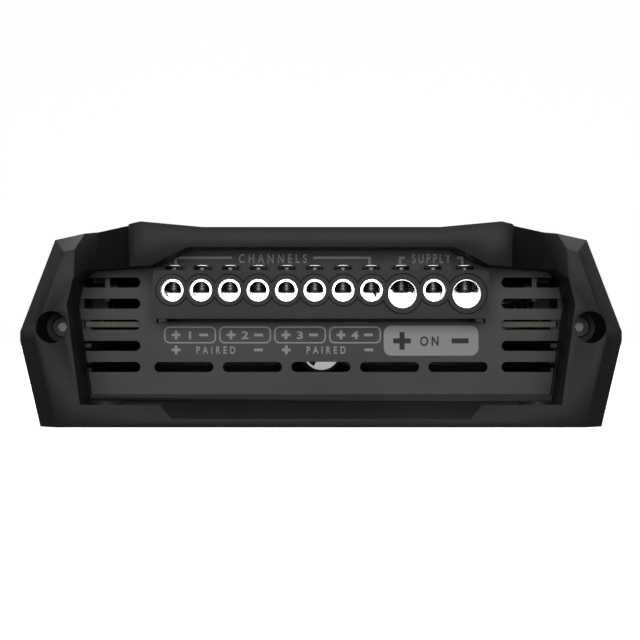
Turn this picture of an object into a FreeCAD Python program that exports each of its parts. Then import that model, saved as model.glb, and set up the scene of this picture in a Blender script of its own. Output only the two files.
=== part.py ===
import FreeCAD, Part
import os
import re
import Sketcher
from FreeCAD import Rotation, Vector

# Compact four-channel car amplifier, in millimetres. +X is right, +Y runs from the terminal end
# to the input end, +Z is up, and the origin is under the middle of the case.

SIZES = {
    # case
    "width": 170, "length": 240, "height": 58, "cap_depth": 32, "cap_chamfer": 5,
    "foot_inset": 5.75, "waist_low": 24.3, "waist_high": 26.85, "shoulder_inset": 9.9,
    "shoulder_drop": 5.3, "apex_inset": 34, "crown_inset": 51.4, "crown_drop": 1.6,
    # recess in each end cap
    "floor_top": 6.3, "floor_inset": 17.5, "cheek_inset": 13.7, "cheek_level": 34.5,
    "corner_inset": 15.4, "corner_drop": 16.4, "eave_inset": 18.7, "eave_drop": 13.6,
    "brow_inset": 37.2, "brow_drop": 12.4, "arch_inset": 47.3, "arch_drop": 7.3,
    "ledge_top": 8.15, "ledge_start": 26,
    "notch_depth": 12.5, "notch_front_inset": 15.3, "notch_mid_inset": 18.3,
    "notch_back_inset": 21.3, "notch_end_inset": 30.4, "brow_setback": 5, "brow_round": 2.2,
    "scoop_half": 45.3, "scoop_low_half": 41.8, "scoop_level": 2.4, "scoop_depth": 12,
    "boss_height": 0.8, "boss_round": 5, "face_lean": 1.4,
    # fasteners
    "cap_screw_inset": 9.5, "cap_screw_level": 28.1, "counterbore_round": 4.5,
    "counterbore_depth": 23.5, "head_round": 2.75, "head_pocket": 3.05, "head_tall": 3,
    "head_gap": 0.2, "screw_round": 1.5, "screw_gap": 0.15, "screw_bite": 12, "hex_flat": 2.5,
    "mount_inset": 24, "mount_depth": 6.5, "mount_round": 2.6,
    # heatsink body and base plate
    "skin_inset": 1.5, "plate_low": 1, "plate_thick": 1.5, "inner_inset": 15, "ceiling_drop": 8.5,
    "fin_groove": 3, "fin_pitch": 9, "fin_deep": 3, "rib_reach": 2, "rib_thick": 1.2,
    "rib_pitch": 2.4, "chamber_wall": 2.5, "body_gap": 0.2,
    # panels
    "panel_thick": 2.5, "panel_overlap": 2, "panel_gap": 0.15, "slot_tall": 3,
    "side_slot_gap": 4.9, "side_slot_inset": 13.4, "side_slot_low": 16.25,
    "side_slot_pitch": 6.225, "low_slot_long": 17.5, "low_slot_pitch": 20.2, "rear_slot_drop": 12,
    # terminal block
    "block_left_end": 5.5, "block_right_end": 6.4, "block_low": 30.5, "block_top": 44.45,
    "block_front": 14, "block_behind": 8, "block_lip": 0.8, "block_end": 1.4, "window_gap": 0.2,
    "foot_wide": 2.2, "foot_left_inset": 1.6,
    "wire_level": 38.7, "wire_pitch": 8.2, "wire_bore": 2.55,
    "wire_shell": 3.2, "wire_collar": 4.45, "power_level": 37.65, "power_step": 0.6,
    "power_pitch": 9.25, "power_bore": 3.9, "power_shell": 4.5, "power_collar": 5.6,
    "collar_tall": 0.5, "moat_wide": 0.3, "moat_deep": 0.6,
    "clamp_front": 17, "power_front": 15.5, "clamp_inset": 6, "clamp_end": 2,
    "clamp_land": 3.4, "clamp_relief": 0.2, "clamp_top": 42.6, "clamp_gap": 0.1,
    "leg_wide": 2, "leg_thick": 0.8, "leg_gap": 0.2,
    # set screw in each clamp
    "clamp_screw_at": 23.5, "clamp_screw_round": 2.5, "clamp_screw_tip": 38,
    "clamp_screw_long": 8.1, "clamp_screw_gap": 0.05, "driver_round": 3.2, "thread_pitch": 0.8,
    "thread_deep": 0.25, "tip_bevel": 0.5, "top_bevel": 0.35, "socket_deep": 3,
    # boards, connectors and ribbon
    "board_low": 28, "board_thick": 1.6, "board_gap": 0.05, "board_front_gap": 0.3,
    "board_back_gap": 38, "board_edge": 0.4, "input_board_gap": 14, "input_board_low": 13,
    "input_board_top": 47, "input_board_half": 60, "connector_half": 12, "connector_deep": 6,
    "ribbon_half": 10, "ribbon_gap": 0.4, "ribbon_thick": 0.6,
    # parts on the main board
    "transistor_thick": 4.5, "lead_thick": 0.8, "lead_gap": 0.3,
    "transistor_low": 31.5, "transistor_tall": 15, "pad_thick": 0.3, "pad_border": 0.5,
    "bar_thick": 1.5, "bar_half": 4, "bar_head_tall": 2,
    "can_round": 6.3, "can_tall": 16, "can_edge": 0.8, "can_first": -20, "can_pitch": 15,
    "core_outer": 14.5, "core_inner": 9.5, "core_tall": 12, "core_lift": 2, "winding_thick": 1.5,
    "winding_rise": 1.4, "choke_round": 6.5, "choke_tall": 11, "choke_flange": 1.2,
    "choke_winding_inset": 0.5, "choke_pitch": 28,
    # fan and its bracket
    "fan_gap": 34, "fan_lift": 1.1, "fan_side": 30, "fan_thick": 7, "duct_wall": 0.7,
    "hub_round": 8, "blade_gap": 0.5, "blade_thick": 0.7, "blade_wide": 6.6, "blade_pitch": 42,
    "hub_long": 5, "hub_gap": 0.4, "hub_floor": 0.8, "mount_thick": 1.4, "bracket_thick": 1.2,
    "bracket_foot": 9, "axle_round": 1, "axle_gap": 0.05, "axle_start": 1.5,
    # small screws
    "small_round": 1.05, "plate_head_round": 2.2, "plate_head_tall": 0.6, "plate_screw_long": 5.8,
    "fan_head_tall": 2, "bracket_head_tall": 1.4,
    # jacks
    "shell_outer": 4.15, "shell_inner": 3.4, "shell_long": 11, "shell_foot": 0.6,
    "contact_outer": 2.1, "contact_bore": 1.62, "contact_floor": 1, "insulator_tall": 3,
    "jack_left": -55, "jack_pitch": 14, "jack_border": 6.5, "upper_row": 36, "lower_row": 21,
    # knobs, switches, sockets and lenses
    "knob_round": 3.6, "knob_long": 7, "knob_gap": 0.3, "grip_round": 0.28, "grip_start": 1,
    "pointer_wide": 0.7, "pointer_deep": 0.8, "shaft_round": 1.5, "shaft_gap": 0.05,
    "pot_half": 5, "pot_thick": 7, "knob_left": -20, "knob_pitch": 20, "switch_at": 20,
    "switch_throw": 2, "slider_half": 1.2, "slider_gap": 0.15, "slider_long": 8.5,
    "carrier_half": 3, "carrier_rise": 2, "carrier_start": 3, "switch_half": 7, "switch_rise": 3.5,
    "socket_at": 42, "socket_half": 9, "socket_rise": 5, "socket_wall": 1.2, "socket_out": 0.8,
    "port_half": 6.5, "port_low_drop": 6, "port_wall": 1.4, "port_out": 0.4, "port_mouth": 7.4,
    "key_half": 2, "key_top": 1.4, "socket_floor": 3, "pin_side": 0.8, "pin_long": 8,
    "pin_first": 3.2, "pin_pitch": 3.6, "lens_at": 60, "lens_drop": 7, "lens_round": 1.5,
    "lens_edge": 1,
}

doc = FreeCAD.newDocument("car_amplifier")
sheet = doc.addObject("Spreadsheet::Sheet", "Sizes")
for row, (alias, value) in enumerate(SIZES.items(), start=1):
    sheet.set(f"A{row}", alias)
    sheet.set(f"B{row}", str(value))
    sheet.setAlias(f"B{row}", alias)
doc.recompute()

parts = []


def bound(text):
    """The expression with each size's name pointing at its cell."""
    return re.sub(r"[a-z][a-z_]+", lambda word: f"Sizes.{word.group()}", str(text))


def size(text):
    """The present value of an expression in the sizes."""
    return float(sheet.evalExpression(bound(text)))


def keep(solid, label):
    """Marks an object as one finished sub-part."""
    solid.Label = label
    parts.append(solid)
    return solid


def body_named(label):
    """A new body that is kept as a sub-part."""
    return keep(doc.addObject("PartDesign::Body", label), label)


def sketch_on(body, role, level="0"):
    """A sketch on one of the body's own origin planes, moved along its normal."""
    sketch = body.newObject("Sketcher::SketchObject", f"{body.Name}_sketch")
    plane = next(item for item in body.Origin.OriginFeatures if item.Role == role)
    sketch.AttachmentSupport = [(plane, "")]
    sketch.MapMode = "FlatFace"
    sketch.setExpression("AttachmentOffset.Base.z", bound(level))
    return sketch


def outline(sketch, points):
    """A closed outline with straight sides through points given as pairs of expressions."""
    first = sketch.GeometryCount
    count = len(points)
    flat = [Vector(size(across), size(up), 0) for across, up in points]
    for index in range(count):
        sketch.addGeometry(Part.LineSegment(flat[index], flat[(index + 1) % count]))
    for index in range(count):
        after = first + (index + 1) % count
        sketch.addConstraint(Sketcher.Constraint("Coincident", first + index, 2, after, 1))
    for index, (across, up) in enumerate(points):
        for kind, text, value in (("DistanceX", across, flat[index].x), ("DistanceY", up, flat[index].y)):
            pin = sketch.addConstraint(Sketcher.Constraint(kind, -1, 1, first + index, 1, value))
            sketch.setExpression(f"Constraints[{pin}]", bound(text))


def circle(sketch, across, up, radius):
    """A circle whose centre and radius are expressions."""
    centre = Vector(size(across), size(up), 0)
    item = sketch.addGeometry(Part.Circle(centre, Vector(0, 0, 1), size(radius)))
    for kind, text, value in (("DistanceX", across, centre.x), ("DistanceY", up, centre.y)):
        pin = sketch.addConstraint(Sketcher.Constraint(kind, -1, 1, item, 3, value))
        sketch.setExpression(f"Constraints[{pin}]", bound(text))
    pin = sketch.addConstraint(Sketcher.Constraint("Radius", item, size(radius)))
    sketch.setExpression(f"Constraints[{pin}]", bound(radius))


def feature(body, kind, sketch, length, backward=False):
    """A pad or pocket of the sketch. backward turns it against its usual direction."""
    before = body.Shape.Volume if body.Tip else 0
    item = body.newObject(f"PartDesign::{kind}", f"{body.Name}_{kind.lower()}")
    item.Profile = sketch
    item.setExpression("Length", bound(length))
    item.Reversed = backward
    doc.recompute()
    if kind == "Pocket" and body.Shape.Volume > before - 1e-6:
        raise ValueError(f"{item.Name} removes nothing")
    return item


def mirrored(points):
    """The points given for the right side, followed by their left copies in reverse."""
    return points + [(f"-({across})", up) for across, up in reversed(points)]


def box(low, extent):
    """A box from its lowest corner and its three sizes, all expressions."""
    item = doc.addObject("Part::Box", "box")
    for side, text in zip(("Length", "Width", "Height"), extent):
        item.setExpression(side, bound(text))
    for axis, text in zip("xyz", low):
        item.setExpression(f"Placement.Base.{axis}", bound(text))
    return item


TURNS = {"x": Rotation(Vector(0, 1, 0), 90), "y": Rotation(Vector(1, 0, 0), -90), "z": Rotation()}


def rod(start, radius, length, along="y"):
    """A cylinder from the centre of its first end, running along +x, +y or +z."""
    item = doc.addObject("Part::Cylinder", "rod")
    item.setExpression("Radius", bound(radius))
    item.setExpression("Height", bound(length))
    item.Placement.Rotation = TURNS[along]
    for axis, text in zip("xyz", start):
        item.setExpression(f"Placement.Base.{axis}", bound(text))
    return item


def hex_rod(start, flats, length):
    """A hexagonal prism along +Y, its size given across flats."""
    item = doc.addObject("Part::Prism", "hexagon")
    item.Polygon = 6
    item.setExpression("Circumradius", bound(f"({flats}) / {3 ** 0.5:.6f}"))
    item.setExpression("Height", bound(length))
    item.Placement.Rotation = TURNS["y"]
    for axis, text in zip("xyz", start):
        item.setExpression(f"Placement.Base.{axis}", bound(text))
    return item


def fuse(items):
    """One object from several. Pieces that don't touch stay separate solids."""
    if len(items) == 1:
        return items[0]
    item = doc.addObject("Part::MultiFuse", "fuse")
    item.Shapes = items
    return item


def cut(base, tools):
    """The base with the tools taken out of it."""
    item = doc.addObject("Part::Cut", "cut")
    item.Base = base
    item.Tool = fuse(tools)
    return item


def group(items):
    """Separate solids kept together as one sub-part."""
    item = doc.addObject("Part::Compound", "group")
    item.Links = items
    return item


def rounded(item, radius, choose):
    """Rounds the edges that choose picks, by their middle point and direction."""
    doc.recompute()
    picked = []
    for index, edge in enumerate(item.Shape.Edges, start=1):
        middle = edge.valueAt((edge.FirstParameter + edge.LastParameter) / 2)
        if choose(middle, edge):
            picked.append((index, size(radius), size(radius)))
    soft = doc.addObject("Part::Fillet", "rounded")
    soft.Base = item
    soft.Edges = picked
    return soft


# ---- end caps: one casting, used at both ends ----

FRONT = "(-length / 2)"
HALF = "width / 2"
TERMINALS_LONG = "(8 * wire_pitch + power_step + 2 * power_pitch)"
BLOCK_HALF = f"(({TERMINALS_LONG} + block_left_end + block_right_end) / 2)"

CAP_OUTLINE = mirrored([
    (f"{HALF} - foot_inset", "0"),
    (HALF, "waist_low"),
    (HALF, "waist_high"),
    (f"{HALF} - shoulder_inset", "height - shoulder_drop"),
    (f"{HALF} - apex_inset", "height"),
    (f"{HALF} - crown_inset", "height - crown_drop"),
])


def recess_points(floor):
    """The see-through opening of an end cap above the given floor level."""
    return mirrored([
        (f"{HALF} - floor_inset", floor),
        (f"{HALF} - cheek_inset", "cheek_level"),
        (f"{HALF} - corner_inset", "height - corner_drop"),
        (f"{HALF} - eave_inset", "height - eave_drop"),
        (f"{HALF} - brow_inset", "height - brow_drop"),
        (f"{HALF} - arch_inset", "height - arch_drop"),
    ])


def panel_points(gap):
    """The outline of a panel, or of the rebate that holds it when gap is its clearance."""
    return mirrored([
        (f"{HALF} - floor_inset + panel_overlap + {gap}", f"ledge_top - panel_overlap - {gap}"),
        (f"{HALF} - cheek_inset + panel_overlap + {gap}", "cheek_level"),
        (f"{HALF} - cheek_inset + panel_overlap + {gap}", "height - corner_drop"),
        (f"{HALF} - eave_inset + {gap}", f"height - arch_drop + {gap}"),
        (f"{HALF} - arch_inset + panel_overlap + {gap}", f"height - arch_drop + panel_overlap + {gap}"),
    ])


def end_cap(label, turn):
    """A cast end cap, drawn at the terminal end and turned half round for the other end."""
    cap = body_named(label)
    shell = sketch_on(cap, "XZ_Plane", "length / 2")
    outline(shell, CAP_OUTLINE)
    shell_pad = feature(cap, "Pad", shell, "cap_depth", backward=True)
    front_edges = []
    for index, edge in enumerate(shell_pad.Shape.Edges, start=1):
        box_of = edge.BoundBox
        if box_of.YMax < -size("length") / 2 + 0.01 and box_of.ZMax > 0.1:
            front_edges.append(f"Edge{index}")
    bevel = cap.newObject("PartDesign::Chamfer", f"{cap.Name}_bevel")
    bevel.Base = (shell_pad, front_edges)
    bevel.setExpression("Size", bound("cap_chamfer"))
    doc.recompute()

    # see-through recess, its ledge and the rebate for the panel
    for level, floor, deep in (("0", "floor_top", "ledge_start"),
                               ("ledge_start", "ledge_top", "cap_depth - ledge_start")):
        opening = sketch_on(cap, "XZ_Plane", f"length / 2 - {level}")
        outline(opening, recess_points(floor))
        feature(cap, "Pocket", opening, deep)
    rebate = sketch_on(cap, "XZ_Plane", "length / 2 - cap_depth + panel_thick")
    outline(rebate, panel_points("panel_gap"))
    feature(cap, "Pocket", rebate, "panel_thick")

    # front face leaning back above the waist
    lean = sketch_on(cap, "YZ_Plane")
    outline(lean, [(FRONT, "waist_high"), (f"{FRONT} + face_lean", "height"), (f"{FRONT} - 1", "height"),
                   (f"{FRONT} - 1", "waist_high")])
    lean_cut = feature(cap, "Pocket", lean, "2 * width")
    lean_cut.Midplane = True

    # brow set back between two posts, with a notch behind each post, open upward
    brow = sketch_on(cap, "XY_Plane", "height - corner_drop - 1")
    outline(brow, mirrored([
        (f"{HALF} - notch_front_inset", f"{FRONT} - 1"),
        (f"{HALF} - notch_front_inset", FRONT),
        (f"{HALF} - notch_mid_inset", f"{FRONT} + brow_setback"),
        (f"{HALF} - notch_back_inset", f"{FRONT} + notch_depth"),
        (f"{HALF} - notch_end_inset", f"{FRONT} + notch_depth"),
        (f"{HALF} - notch_end_inset", f"{FRONT} + brow_setback + brow_round"),
        (f"{HALF} - notch_end_inset - brow_round * 0.293", f"{FRONT} + brow_setback + brow_round * 0.293"),
        (f"{HALF} - notch_end_inset - brow_round", f"{FRONT} + brow_setback"),
    ]))
    feature(cap, "Pocket", brow, "corner_drop + 2", backward=True)

    # driver access over the clamp screws, through the top behind the brow
    access = sketch_on(cap, "XY_Plane", "height - brow_drop - 1")
    near = f"{FRONT} + clamp_screw_at - driver_round"
    far = f"{FRONT} + clamp_screw_at + driver_round"
    outline(access, mirrored([(BLOCK_HALF, near), (BLOCK_HALF, far)]))
    feature(cap, "Pocket", access, "brow_drop + 2", backward=True)

    # scoop in the sill, rising to the recess floor
    scoop = cap.newObject("PartDesign::SubtractiveWedge", f"{cap.Name}_scoop")
    plane = next(item for item in cap.Origin.OriginFeatures if item.Role == "XZ_Plane")
    scoop.AttachmentSupport = [(plane, "")]
    scoop.MapMode = "FlatFace"
    scoop.setExpression("AttachmentOffset.Base.z", bound("length / 2"))
    for edge, text in (("Xmin", "-scoop_low_half"), ("Xmax", "scoop_low_half"), ("Ymin", "scoop_level"),
                       ("Zmin", "-0.01"), ("Zmax", "1"), ("X2min", "-scoop_half"), ("X2max", "scoop_half"),
                       ("Ymax", "floor_top + 0.01"), ("Z2min", "-scoop_depth"), ("Z2max", "1")):
        scoop.setExpression(edge, bound(text))
    doc.recompute()

    # stepped holes for the cap screws, and mounting holes through bosses on the floor
    for radius, start, deep in (("counterbore_round", "0", "counterbore_depth"),
                                ("head_pocket", "counterbore_depth", "head_tall + head_gap"),
                                ("screw_round + screw_gap", "counterbore_depth", "cap_depth")):
        holes = sketch_on(cap, "XZ_Plane", f"length / 2 - ({start})")
        for side in ("", "-"):
            circle(holes, f"{side}({HALF} - cap_screw_inset)", "cap_screw_level", radius)
        feature(cap, "Pocket", holes, deep)
    bosses = sketch_on(cap, "XY_Plane", "floor_top")
    for side in ("", "-"):
        circle(bosses, f"{side}({HALF} - mount_inset)", f"{FRONT} + mount_depth", "boss_round")
    feature(cap, "Pad", bosses, "boss_height")
    holes = sketch_on(cap, "XY_Plane", "floor_top + boss_height")
    for side in ("", "-"):
        circle(holes, f"{side}({HALF} - mount_inset)", f"{FRONT} + mount_depth", "mount_round")
    feature(cap, "Pocket", holes, "floor_top + boss_height")
    cap.Placement = FreeCAD.Placement(Vector(), Rotation(Vector(0, 0, 1), turn))


end_cap("front_end_cap", 0)
end_cap("rear_end_cap", 180)

# ---- extruded heatsink body and base plate ----

BODY_HALF = "(length / 2 - cap_depth)"
PLATE_TOP = "(plate_low + plate_thick)"
INNER = "(width / 2 - inner_inset)"
CEILING = "(height - ceiling_drop)"
BOARD_TOP = "(board_low + board_thick)"
BOARD_FRONT = f"({FRONT} + cap_depth + board_front_gap)"
BOARD_BACK = f"({BODY_HALF} - board_back_gap)"
BOARD_LONG = f"({BOARD_BACK} - {BOARD_FRONT})"
TRANSISTOR_PITCH = f"({BOARD_LONG} * 0.13)"
TRANSISTOR_HALF = f"({TRANSISTOR_PITCH} * 0.28)"


def heatsink():
    """The extrusion: sloped skin, hollow side walls, card rails, ribs and grooves between fins."""
    sink = body_named("heatsink_body")
    skin = sketch_on(sink, "XZ_Plane", BODY_HALF)
    outline(skin, mirrored([
        (f"{HALF} - foot_inset - skin_inset", PLATE_TOP),
        (f"{HALF} - skin_inset", "waist_low"),
        (f"{HALF} - skin_inset", "waist_high"),
        (f"{HALF} - shoulder_inset - skin_inset", "height - shoulder_drop - skin_inset"),
        (f"{HALF} - apex_inset", "height - skin_inset"),
        (f"{HALF} - crown_inset", "height - crown_drop - skin_inset"),
    ]))
    feature(sink, "Pad", skin, f"2 * {BODY_HALF}", backward=True)
    inside = sketch_on(sink, "XZ_Plane", BODY_HALF)
    outline(inside, mirrored([(INNER, f"{PLATE_TOP} - 1"), (INNER, CEILING)]))
    for side in ("", "-"):
        outline(inside, [
            (f"{side}({INNER} + chamber_wall)", f"{PLATE_TOP} + chamber_wall"),
            (f"{side}({INNER} + 2 * chamber_wall)", f"{PLATE_TOP} + chamber_wall"),
            (f"{side}({HALF} - skin_inset - 1.5 * chamber_wall)", "cap_screw_level - 2 * chamber_wall"),
            (f"{side}({INNER} + chamber_wall)", "cap_screw_level - 2 * chamber_wall"),
        ])
        outline(inside, [
            (f"{side}({INNER} + chamber_wall)", "cap_screw_level + 2 * chamber_wall"),
            (f"{side}({INNER} + 3 * chamber_wall)", "cap_screw_level + 2 * chamber_wall"),
            (f"{side}({INNER} + chamber_wall)", f"{CEILING} - chamber_wall"),
        ])
    feature(sink, "Pocket", inside, f"2 * {BODY_HALF}")
    grooves = sketch_on(sink, "XZ_Plane", BODY_HALF)
    for step in range(-5, 6):
        left = f"{step} * fin_pitch - fin_groove / 2"
        right = f"{step} * fin_pitch + fin_groove / 2"
        low = "height - crown_drop - skin_inset - fin_deep"
        outline(grooves, [(left, low), (right, low), (right, "height + 1"), (left, "height + 1")])
    feature(sink, "Pocket", grooves, f"2 * {BODY_HALF}")
    ribs = sketch_on(sink, "XZ_Plane", BODY_HALF)
    for side in ("", "-"):
        for low in ["board_low - board_gap - rib_thick", f"{BOARD_TOP} + board_gap"] + \
                [f"board_low - board_gap - rib_thick - {step} * rib_pitch" for step in range(1, 10)]:
            outline(ribs, [
                (f"{side}({INNER} - rib_reach)", low),
                (f"{side}{INNER}", low),
                (f"{side}{INNER}", f"{low} + rib_thick"),
                (f"{side}({INNER} - rib_reach)", f"{low} + rib_thick"),
            ])
    feature(sink, "Pad", ribs, f"2 * {BODY_HALF}", backward=True)
    for start in (BODY_HALF, f"-{BODY_HALF}"):
        tapped = sketch_on(sink, "XZ_Plane", start)
        for side in ("", "-"):
            circle(tapped, f"{side}({HALF} - cap_screw_inset)", "cap_screw_level", "screw_round")
        feature(sink, "Pocket", tapped, "screw_bite", backward=start.startswith("-"))
    return sink


sink = heatsink()

CLAMP_ROWS = [f"({BOARD_FRONT} + {step} * {TRANSISTOR_PITCH})" for step in (1, 3, 5)]
PLATE_SCREW_ROWS = [f"({share} * {BODY_HALF})" for share in (-0.85, -0.3, 0.3, 0.85)]
CLAMP_LEVEL = "(transistor_low + transistor_tall * 0.55)"
PLATE_SCREW_LINE = f"({INNER} + chamber_wall / 2)"

# tapped holes for the clamp bars and the base plate
sink_holes = sketch_on(sink, "XY_Plane", PLATE_TOP)
for side in ("", "-"):
    for place in PLATE_SCREW_ROWS:
        circle(sink_holes, f"{side}{PLATE_SCREW_LINE}", place, "small_round")
feature(sink, "Pocket", sink_holes, "plate_screw_long - plate_thick + 0.5", backward=True)
for start, backward in ((INNER, True), (f"-{INNER}", False)):
    bar_holes = sketch_on(sink, "YZ_Plane", start)
    for place in CLAMP_ROWS:
        circle(bar_holes, place, CLAMP_LEVEL, "screw_round")
    feature(sink, "Pocket", bar_holes, "chamber_wall", backward=backward)

plate_places = [(f"{side}{PLATE_SCREW_LINE}", place) for side in ("", "-") for place in PLATE_SCREW_ROWS]
FAN = f"({BODY_HALF} - fan_gap)"
FAN_LEVEL = f"({PLATE_TOP} + fan_lift + fan_side / 2)"
FAN_BORE = "(fan_side / 2 - duct_wall)"
BLADE_ROUND = f"({FAN_BORE} - blade_gap)"
FAN_HOLE = "(0.4 * fan_side)"
bracket_holes = [(f"{side} 0.3 * fan_side", f"{FAN} + fan_thick + bracket_thick + bracket_foot / 2")
                 for side in ("-", "")]


def base_plate():
    """The sheet under the case, with countersinks for its own screws and holes for the bracket's."""
    low = (f"-{HALF} + foot_inset + 2 * skin_inset", f"-{BODY_HALF} + body_gap", "plate_low")
    extent = ("width - 2 * foot_inset - 4 * skin_inset", f"2 * {BODY_HALF} - 2 * body_gap", "plate_thick")
    tools = []
    for x, y in plate_places:
        tools.append(rod((x, y, "plate_low"), "small_round + screw_gap", "plate_thick", "z"))
        tools.append(rod((x, y, "plate_low"), "plate_head_round", "plate_head_tall", "z"))
    tools += [rod((x, y, "plate_low"), "small_round", "plate_thick", "z") for x, y in bracket_holes]
    return cut(box(low, extent), tools)


keep(base_plate(), "base_plate")
keep(group([fuse([
    rod((x, y, "plate_low"), "plate_head_round - screw_gap", "plate_head_tall", "z"),
    rod((x, y, "plate_low + plate_head_tall / 2"), "small_round", "plate_screw_long", "z"),
]) for x, y in plate_places]), "base_plate_screws")


def cap_screws():
    """Socket-head screws, two through each end cap into the heatsink body."""
    screws = []
    for side in ("", "-"):
        across = f"{side}({HALF} - cap_screw_inset)"
        head = f"{FRONT} + counterbore_depth + head_gap"
        shank_long = "cap_depth - counterbore_depth - head_gap - head_tall + screw_bite - 0.5"
        front = cut(fuse([
            rod((across, head, "cap_screw_level"), "head_round", "head_tall"),
            rod((across, f"{head} + head_tall", "cap_screw_level"), "screw_round", shank_long),
        ]), [hex_rod((across, head, "cap_screw_level"), "hex_flat", "head_tall / 2")])
        screws.append(front)
        head = "length / 2 - counterbore_depth - head_gap - head_tall"
        rear = cut(fuse([
            rod((across, head, "cap_screw_level"), "head_round", "head_tall"),
            rod((across, f"{head} - ({shank_long})", "cap_screw_level"), "screw_round", shank_long),
        ]), [hex_rod((across, f"{head} + head_tall / 2", "cap_screw_level"), "hex_flat", "head_tall / 2")])
        screws.append(rear)
    return group(screws)


keep(cap_screws(), "end_cap_screws")

# ---- panels ----


def slot_shape(low_x, high_x, level, start):
    """A round-ended slot cut along +Y from start through a panel."""
    radius = "slot_tall / 2"
    return [
        box((f"{low_x} + {radius}", f"{start} - 1", f"{level} - {radius}"),
            (f"({high_x}) - ({low_x}) - slot_tall", "panel_thick + 2", "slot_tall")),
        rod((f"{low_x} + {radius}", f"{start} - 1", level), radius, "panel_thick + 2"),
        rod((f"{high_x} - {radius}", f"{start} - 1", level), radius, "panel_thick + 2"),
    ]


def panel_plate(label, start):
    """A flat panel that fills the rebate of one end cap."""
    plate = doc.addObject("PartDesign::Body", label)
    face = sketch_on(plate, "XZ_Plane", f"-({start})")
    outline(face, panel_points("0"))
    feature(plate, "Pad", face, "panel_thick", backward=True)
    return plate


FRONT_PANEL = f"({FRONT} + cap_depth - panel_thick)"
REAR_PANEL = BODY_HALF
SLOT_START = f"({BLOCK_HALF} + side_slot_gap)"
SLOT_END = f"({HALF} - side_slot_inset)"
front_cuts = []
for step in range(5):
    level = f"side_slot_low + {step} * side_slot_pitch"
    front_cuts += slot_shape(SLOT_START, SLOT_END, level, FRONT_PANEL)
    front_cuts += slot_shape(f"-{SLOT_END}", f"-{SLOT_START}", level, FRONT_PANEL)
for step in range(-2, 3):
    middle = f"{step} * low_slot_pitch"
    front_cuts += slot_shape(f"{middle} - low_slot_long / 2", f"{middle} + low_slot_long / 2",
                             "side_slot_low", FRONT_PANEL)
front_cuts.append(box(
    (f"-{BLOCK_HALF} - window_gap", f"{FRONT_PANEL} - 1", "board_low + 1"),
    (f"2 * {BLOCK_HALF} + 2 * window_gap", "panel_thick + 2", "block_top - board_low - 1 + window_gap")))
keep(cut(panel_plate("front_plate", FRONT_PANEL), front_cuts), "front_panel")

# ---- terminal block ----

WIRE_FIRST = f"(block_left_end - {BLOCK_HALF})"
POWER_FIRST = f"({WIRE_FIRST} + 8 * wire_pitch + power_step)"
WIRES = [(f"({WIRE_FIRST} + {step} * wire_pitch)", "wire") for step in range(8)]
WIRES += [(f"({POWER_FIRST} + {step} * power_pitch)", kind)
          for step, kind in enumerate(("power", "wire", "power"))]
SCREW_AT = f"({FRONT} + clamp_screw_at)"
BLOCK_FRONT = f"({FRONT} + block_front)"
BLOCK_BACK = f"({FRONT} + cap_depth + block_behind)"
BLOCK_LONG = f"({BLOCK_BACK} - {BLOCK_FRONT})"
CLAMP_BACK = f"({BLOCK_BACK} - clamp_inset)"


def front_of(kind):
    """Where the metal clamp of a terminal starts."""
    return f"({FRONT} + {'power_front' if kind == 'power' else 'clamp_front'})"


def terminal_housing():
    """The plastic block: raised collars in moats, clamp cavities, screw holes, feet and a rear skirt."""
    block = rounded(box((f"-{BLOCK_HALF}", BLOCK_FRONT, "block_low"),
                        (f"2 * {BLOCK_HALF}", BLOCK_LONG, "block_top - block_low")),
                    "block_lip", lambda middle, edge: abs(edge.tangentAt(edge.FirstParameter).y) > 0.9)
    moats = []
    collars = []
    tools = [box((f"-{BLOCK_HALF} + block_end", f"{BLOCK_FRONT} + 1", "block_top - block_lip"),
                 (f"2 * {BLOCK_HALF} - 2 * block_end", BLOCK_LONG, "block_lip + 1"))]
    for across, kind in WIRES:
        shell = f"{kind}_shell + clamp_gap"
        level = f"{kind}_level"
        moats.append(rod((across, f"{BLOCK_FRONT} - 1", level), f"{kind}_collar + moat_wide", "moat_deep + 1"))
        collars.append(rod((across, f"{BLOCK_FRONT} - collar_tall", level), f"{kind}_collar",
                           "collar_tall + moat_deep + 0.5"))
        entry = f"{kind}_bore + clamp_relief" if kind == "power" else shell
        tools.append(rod((across, f"{BLOCK_FRONT} - 1", level), entry, f"{BLOCK_LONG} + 2"))
        tools.append(rod((across, front_of(kind), level), shell, BLOCK_LONG))
        tools.append(box((f"{across} - wire_shell - clamp_gap", f"{SCREW_AT} - wire_shell - clamp_gap", level),
                         ("2 * wire_shell + 2 * clamp_gap", BLOCK_LONG, f"clamp_top + clamp_gap - {level}")))
        tools.append(rod((across, SCREW_AT, level), "clamp_screw_round + 3 * clamp_gap", "block_top", "z"))
    solids = [cut(block, moats)] + collars
    foot_tall = f"block_low - {BOARD_TOP} + 0.5"
    for side in (f"-{BLOCK_HALF} + foot_left_inset", f"{BLOCK_HALF} - foot_left_inset - foot_wide"):
        solids.append(box((side, f"{BLOCK_FRONT} + 1", BOARD_TOP),
                          ("foot_wide", f"{BLOCK_LONG} - 1", foot_tall)))
    solids.append(box((f"-{BLOCK_HALF} + foot_left_inset", f"{BLOCK_BACK} - foot_wide", BOARD_TOP),
                      (f"2 * ({BLOCK_HALF} - foot_left_inset)", "foot_wide", foot_tall)))
    tools.append(box((f"-{BLOCK_HALF} - 1", f"{FRONT} + cap_depth", "block_low - 2"),
                     (f"2 * {BLOCK_HALF} + 2", "board_front_gap", f"{BOARD_TOP} - block_low + 2")))
    return cut(fuse(solids), tools)


keep(terminal_housing(), "terminal_housing")


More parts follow.
